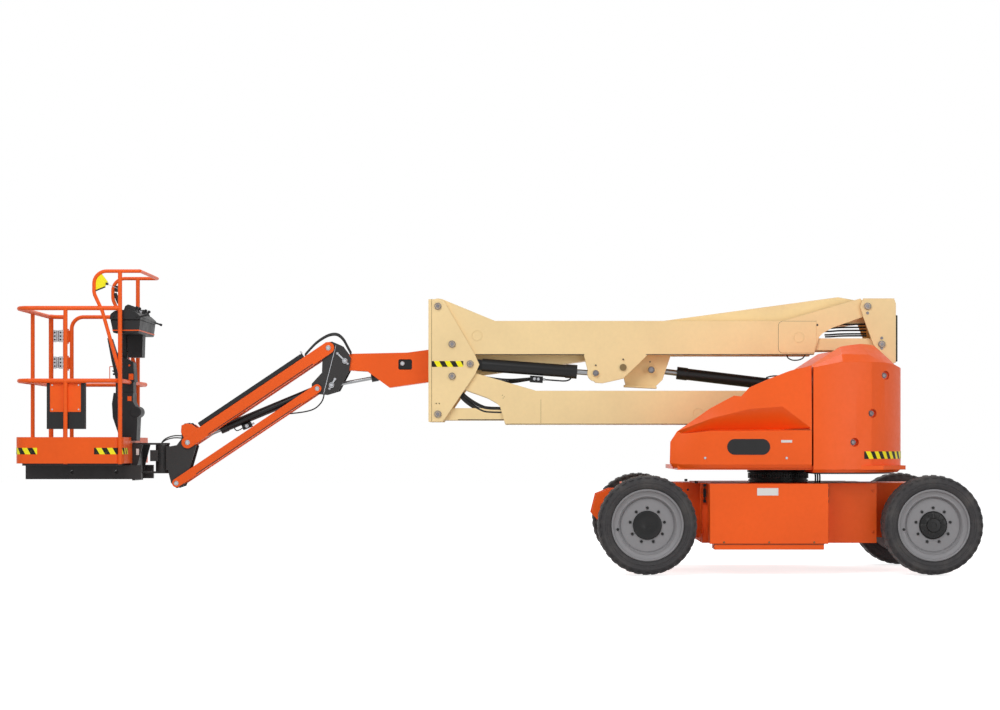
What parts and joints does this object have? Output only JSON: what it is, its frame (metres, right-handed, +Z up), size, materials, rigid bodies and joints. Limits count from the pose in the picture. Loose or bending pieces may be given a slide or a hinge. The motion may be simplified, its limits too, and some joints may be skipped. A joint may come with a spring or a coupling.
{
  "type": "articulating boom lift",
  "caption": "Electric articulating boom lift, stowed: wheeled chassis, slewing turntable with covers, folding tower, telescopic main boom, jib and guarded platform.",
  "frame": {"origin": "on the ground under the middle of the stowed machine", "axes": "+X from the platform end towards the counterweight end, +Z up"},
  "size_m": [6.874, 1.75, 2.174],
  "materials": {
    "orange_paint": "satin",
    "cream_paint": "satin",
    "dark_paint": "satin",
    "black_paint": "gloss",
    "rim_grey": "satin",
    "tyre_rubber": "matte",
    "black_plastic": "matte",
    "steel": "brushed",
    "orange_cover": "gloss"
  },
  "bodies": {
    "chassis": {"chassis": "orange_paint", "front_axle": "dark_paint", "rear_axle": "dark_paint", "battery_box_far": "orange_paint", "battery_box_near": "orange_paint", "slew_ring": "black_paint"},
    "knuckle_far": {"knuckle_far": "dark_paint"},
    "knuckle_near": {"knuckle_near": "dark_paint"},
    "wheel_front_far": {"tyre_front_far": "tyre_rubber", "rim_front_far": "rim_grey"},
    "wheel_front_near": {"tyre_front_near": "tyre_rubber", "rim_front_near": "rim_grey"},
    "wheel_rear_far": {"tyre_rear_far": "tyre_rubber", "rim_rear_far": "rim_grey"},
    "wheel_rear_near": {"tyre_rear_near": "tyre_rubber", "rim_rear_near": "rim_grey"},
    "turntable": {"turntable_base": "dark_paint", "equipment": "dark_paint", "counterweight": "orange_paint", "weight_bridge": "orange_paint"},
    "hood_far": {"hood_far": "orange_cover"},
    "hood_near": {"hood_near": "orange_cover"},
    "lower_boom": {"lower_boom": "cream_paint"},
    "lower_links": {"lower_links": "cream_paint"},
    "upright_front": {"upright_front": "cream_paint"},
    "mid_boom": {"mid_boom": "cream_paint"},
    "mid_links": {"mid_links": "cream_paint"},
    "upright_rear": {"upright_rear": "cream_paint"},
    "tower_barrel": {"tower_cylinder_barrel": "black_paint"},
    "tower_rod": {"tower_cylinder_rod": "steel"},
    "main_boom": {"main_boom": "cream_paint"},
    "main_barrel": {"main_cylinder_barrel": "black_paint"},
    "main_rod": {"main_cylinder_rod": "steel"},
    "fly_boom": {"fly_boom": "orange_paint"},
    "level_barrel": {"level_cylinder_barrel": "black_paint"},
    "level_rod": {"level_cylinder_rod": "steel"},
    "jib_bracket": {"jib_bracket": "dark_paint"},
    "jib_top_link": {"jib_top_link": "orange_paint"},
    "jib_low_link": {"jib_low_link": "orange_paint"},
    "jib_barrel": {"jib_cylinder_barrel": "black_paint"},
    "jib_rod": {"jib_cylinder_rod": "steel"},
    "jib_end": {"jib_end": "dark_paint"},
    "platform": {"platform_base": "dark_paint", "platform_rails": "orange_paint", "console": "black_plastic", "manual_box": "black_plastic"},
    "gate": {"gate": "orange_paint"}
  },
  "joints": [
    {"name": "slew", "type": "hinge", "parent": "chassis", "child": "turntable", "pos_m": [2.078, 0, 0.743], "axis": [0, 0, 1], "range_deg": [-177.5, 177.5]},
    {"name": "steer_far", "type": "hinge", "parent": "chassis", "child": "knuckle_far", "pos_m": [1.073, 0.64, 0.354], "axis": [0, 0, 1], "range_deg": [-35, 35]},
    {"name": "steer_near", "type": "hinge", "parent": "chassis", "child": "knuckle_near", "pos_m": [1.073, -0.64, 0.354], "axis": [0, 0, 1], "range_deg": [-35, 35]},
    {"name": "wheel_front_far_roll", "type": "hinge", "parent": "knuckle_far", "child": "wheel_front_far", "pos_m": [1.073, 0.755, 0.354], "axis": [0, 1, 0], "continuous": true},
    {"name": "wheel_rear_far_roll", "type": "hinge", "parent": "chassis", "child": "wheel_rear_far", "pos_m": [3.083, 0.755, 0.354], "axis": [0, 1, 0], "continuous": true},
    {"name": "wheel_front_near_roll", "type": "hinge", "parent": "knuckle_near", "child": "wheel_front_near", "pos_m": [1.073, -0.755, 0.354], "axis": [0, 1, 0], "continuous": true},
    {"name": "wheel_rear_near_roll", "type": "hinge", "parent": "chassis", "child": "wheel_rear_near", "pos_m": [3.083, -0.755, 0.354], "axis": [0, 1, 0], "continuous": true},
    {"name": "hood_far_open", "type": "hinge", "parent": "turntable", "child": "hood_far", "pos_m": [2.221, 0.794, 1], "axis": [0, 0, -1], "range_deg": [0, 80]},
    {"name": "hood_near_open", "type": "hinge", "parent": "turntable", "child": "hood_near", "pos_m": [2.221, -0.794, 1], "axis": [0, 0, 1], "range_deg": [0, 80]},
    {"name": "tower_lift", "type": "hinge", "parent": "turntable", "child": "lower_boom", "pos_m": [2.8145, 0, 1.422], "axis": [0, 1, 0], "range_deg": [0, 62]},
    {"name": "lower_link_turn", "type": "hinge", "parent": "turntable", "child": "lower_links", "pos_m": [2.711, 0, 1.145], "axis": [0, 1, 0], "range_deg": [0, 62.02]},
    {"name": "upright_front_level", "type": "hinge", "parent": "lower_boom", "child": "upright_front", "pos_m": [-0.3245, 0, 1.422], "axis": [0, 1, 0], "range_deg": [-62.02, 0]},
    {"name": "mid_boom_turn", "type": "hinge", "parent": "upright_front", "child": "mid_boom", "pos_m": [-0.428, 0, 1.933], "axis": [0, 1, 0], "range_deg": [-62.02, 0]},
    {"name": "mid_link_turn", "type": "hinge", "parent": "upright_front", "child": "mid_links", "pos_m": [-0.3245, 0, 1.656], "axis": [0, 1, 0], "range_deg": [-62.02, 0]},
    {"name": "upright_rear_level", "type": "hinge", "parent": "mid_boom", "child": "upright_rear", "pos_m": [2.711, 0, 1.933], "axis": [0, 1, 0], "range_deg": [0, 62.02]},
    {"name": "tower_barrel_turn", "type": "hinge", "parent": "upright_front", "child": "tower_barrel", "pos_m": [-0.192, -0.1425, 1.512], "axis": [0, 1, 0], "range_deg": [-62.88, 0]},
    {"name": "tower_rod_slide", "type": "slide", "parent": "tower_barrel", "child": "tower_rod", "axis": [0.9973, 0, -0.0729], "range_m": [0, 0.49735]},
    {"name": "main_lift", "type": "hinge", "parent": "upright_rear", "child": "main_boom", "pos_m": [2.811, 0, 1.884], "axis": [0, 1, 0], "range_deg": [0, 82]},
    {"name": "main_barrel_turn", "type": "hinge", "parent": "upright_rear", "child": "main_barrel", "pos_m": [2.84, 0, 1.27], "axis": [0, 1, 0], "range_deg": [0, 66.38]},
    {"name": "main_rod_slide", "type": "slide", "parent": "main_barrel", "child": "main_rod", "axis": [-0.9929, 0, 0.1191], "range_m": [0, 0.59853]},
    {"name": "telescope", "type": "slide", "parent": "main_boom", "child": "fly_boom", "axis": [-0.9909, 0, -0.1345], "range_m": [0, 1.5]},
    {"name": "jib_bracket_level", "type": "hinge", "parent": "fly_boom", "child": "jib_bracket", "pos_m": [-1.119, 0, 1.53896], "axis": [0, 1, 0], "range_deg": [-82.02, 0]},
    {"name": "level_barrel_turn", "type": "hinge", "parent": "fly_boom", "child": "level_barrel", "pos_m": [-0.612, 0, 1.47096], "axis": [0, 1, 0], "range_deg": [0, 1.66]},
    {"name": "level_rod_slide", "type": "slide", "parent": "level_barrel", "child": "level_rod", "axis": [-0.9835, 0, -0.1807], "range_m": [-0.26731, 0]},
    {"name": "jib_lift", "type": "hinge", "parent": "jib_bracket", "child": "jib_top_link", "pos_m": [-1.239, 0, 1.63296], "axis": [0, 1, 0], "range_deg": [-26, 118]},
    {"name": "jib_low_turn", "type": "hinge", "parent": "jib_bracket", "child": "jib_low_link", "pos_m": [-1.321, 0, 1.33396], "axis": [0, 1, 0], "range_deg": [-26.02, 118.02]},
    {"name": "jib_end_level", "type": "hinge", "parent": "jib_top_link", "child": "jib_end", "pos_m": [-2.274, 0, 0.93796], "axis": [0, 1, 0], "range_deg": [-118.02, 26.02]},
    {"name": "jib_barrel_turn", "type": "hinge", "parent": "jib_bracket", "child": "jib_barrel", "pos_m": [-1.321, 0, 1.33396], "axis": [0, 1, 0], "range_deg": [-24.45, 110.88]},
    {"name": "jib_rod_slide", "type": "slide", "parent": "jib_barrel", "child": "jib_rod", "axis": [-0.9234, 0, -0.3837], "range_m": [-0.11239, 0.50831]},
    {"name": "platform_turn", "type": "hinge", "parent": "jib_end", "child": "platform", "pos_m": [-2.472, 0, 0.72496], "axis": [0, 0, 1], "range_deg": [-90, 90]},
    {"name": "gate_open", "type": "hinge", "parent": "platform", "child": "gate", "pos_m": [-3.285, 0.564, 1.37796], "axis": [0, 0, 1], "range_deg": [-90, 0]}
  ],
  "couplings": [
    {"joint": "steer_near", "follows": "steer_far", "ratio": 1},
    {"joint": "lower_link_turn", "follows": "tower_lift", "ratio": 1},
    {"joint": "upright_front_level", "follows": "tower_lift", "ratio": -1},
    {"joint": "mid_boom_turn", "follows": "tower_lift", "ratio": -1},
    {"joint": "mid_link_turn", "follows": "tower_lift", "ratio": -1},
    {"joint": "upright_rear_level", "follows": "tower_lift", "ratio": 1},
    {"joint": "tower_barrel_turn", "follows": "tower_lift", "ratio": -1.0139},
    {"joint": "tower_rod_slide", "follows": "tower_lift", "m_per_rad": 0.45916},
    {"joint": "main_barrel_turn", "follows": "main_lift", "ratio": 0.80929},
    {"joint": "main_rod_slide", "follows": "main_lift", "m_per_rad": 0.41786},
    {"joint": "jib_bracket_level", "follows": "main_lift", "ratio": -1},
    {"joint": "level_barrel_turn", "follows": "main_lift", "ratio": 0.02001},
    {"joint": "level_rod_slide", "follows": "main_lift", "m_per_rad": -0.18643},
    {"joint": "jib_low_turn", "follows": "jib_lift", "ratio": 1},
    {"joint": "jib_end_level", "follows": "jib_lift", "ratio": -1},
    {"joint": "jib_barrel_turn", "follows": "jib_lift", "ratio": 0.93951},
    {"joint": "jib_rod_slide", "follows": "jib_lift", "m_per_rad": 0.24657}
  ]
}
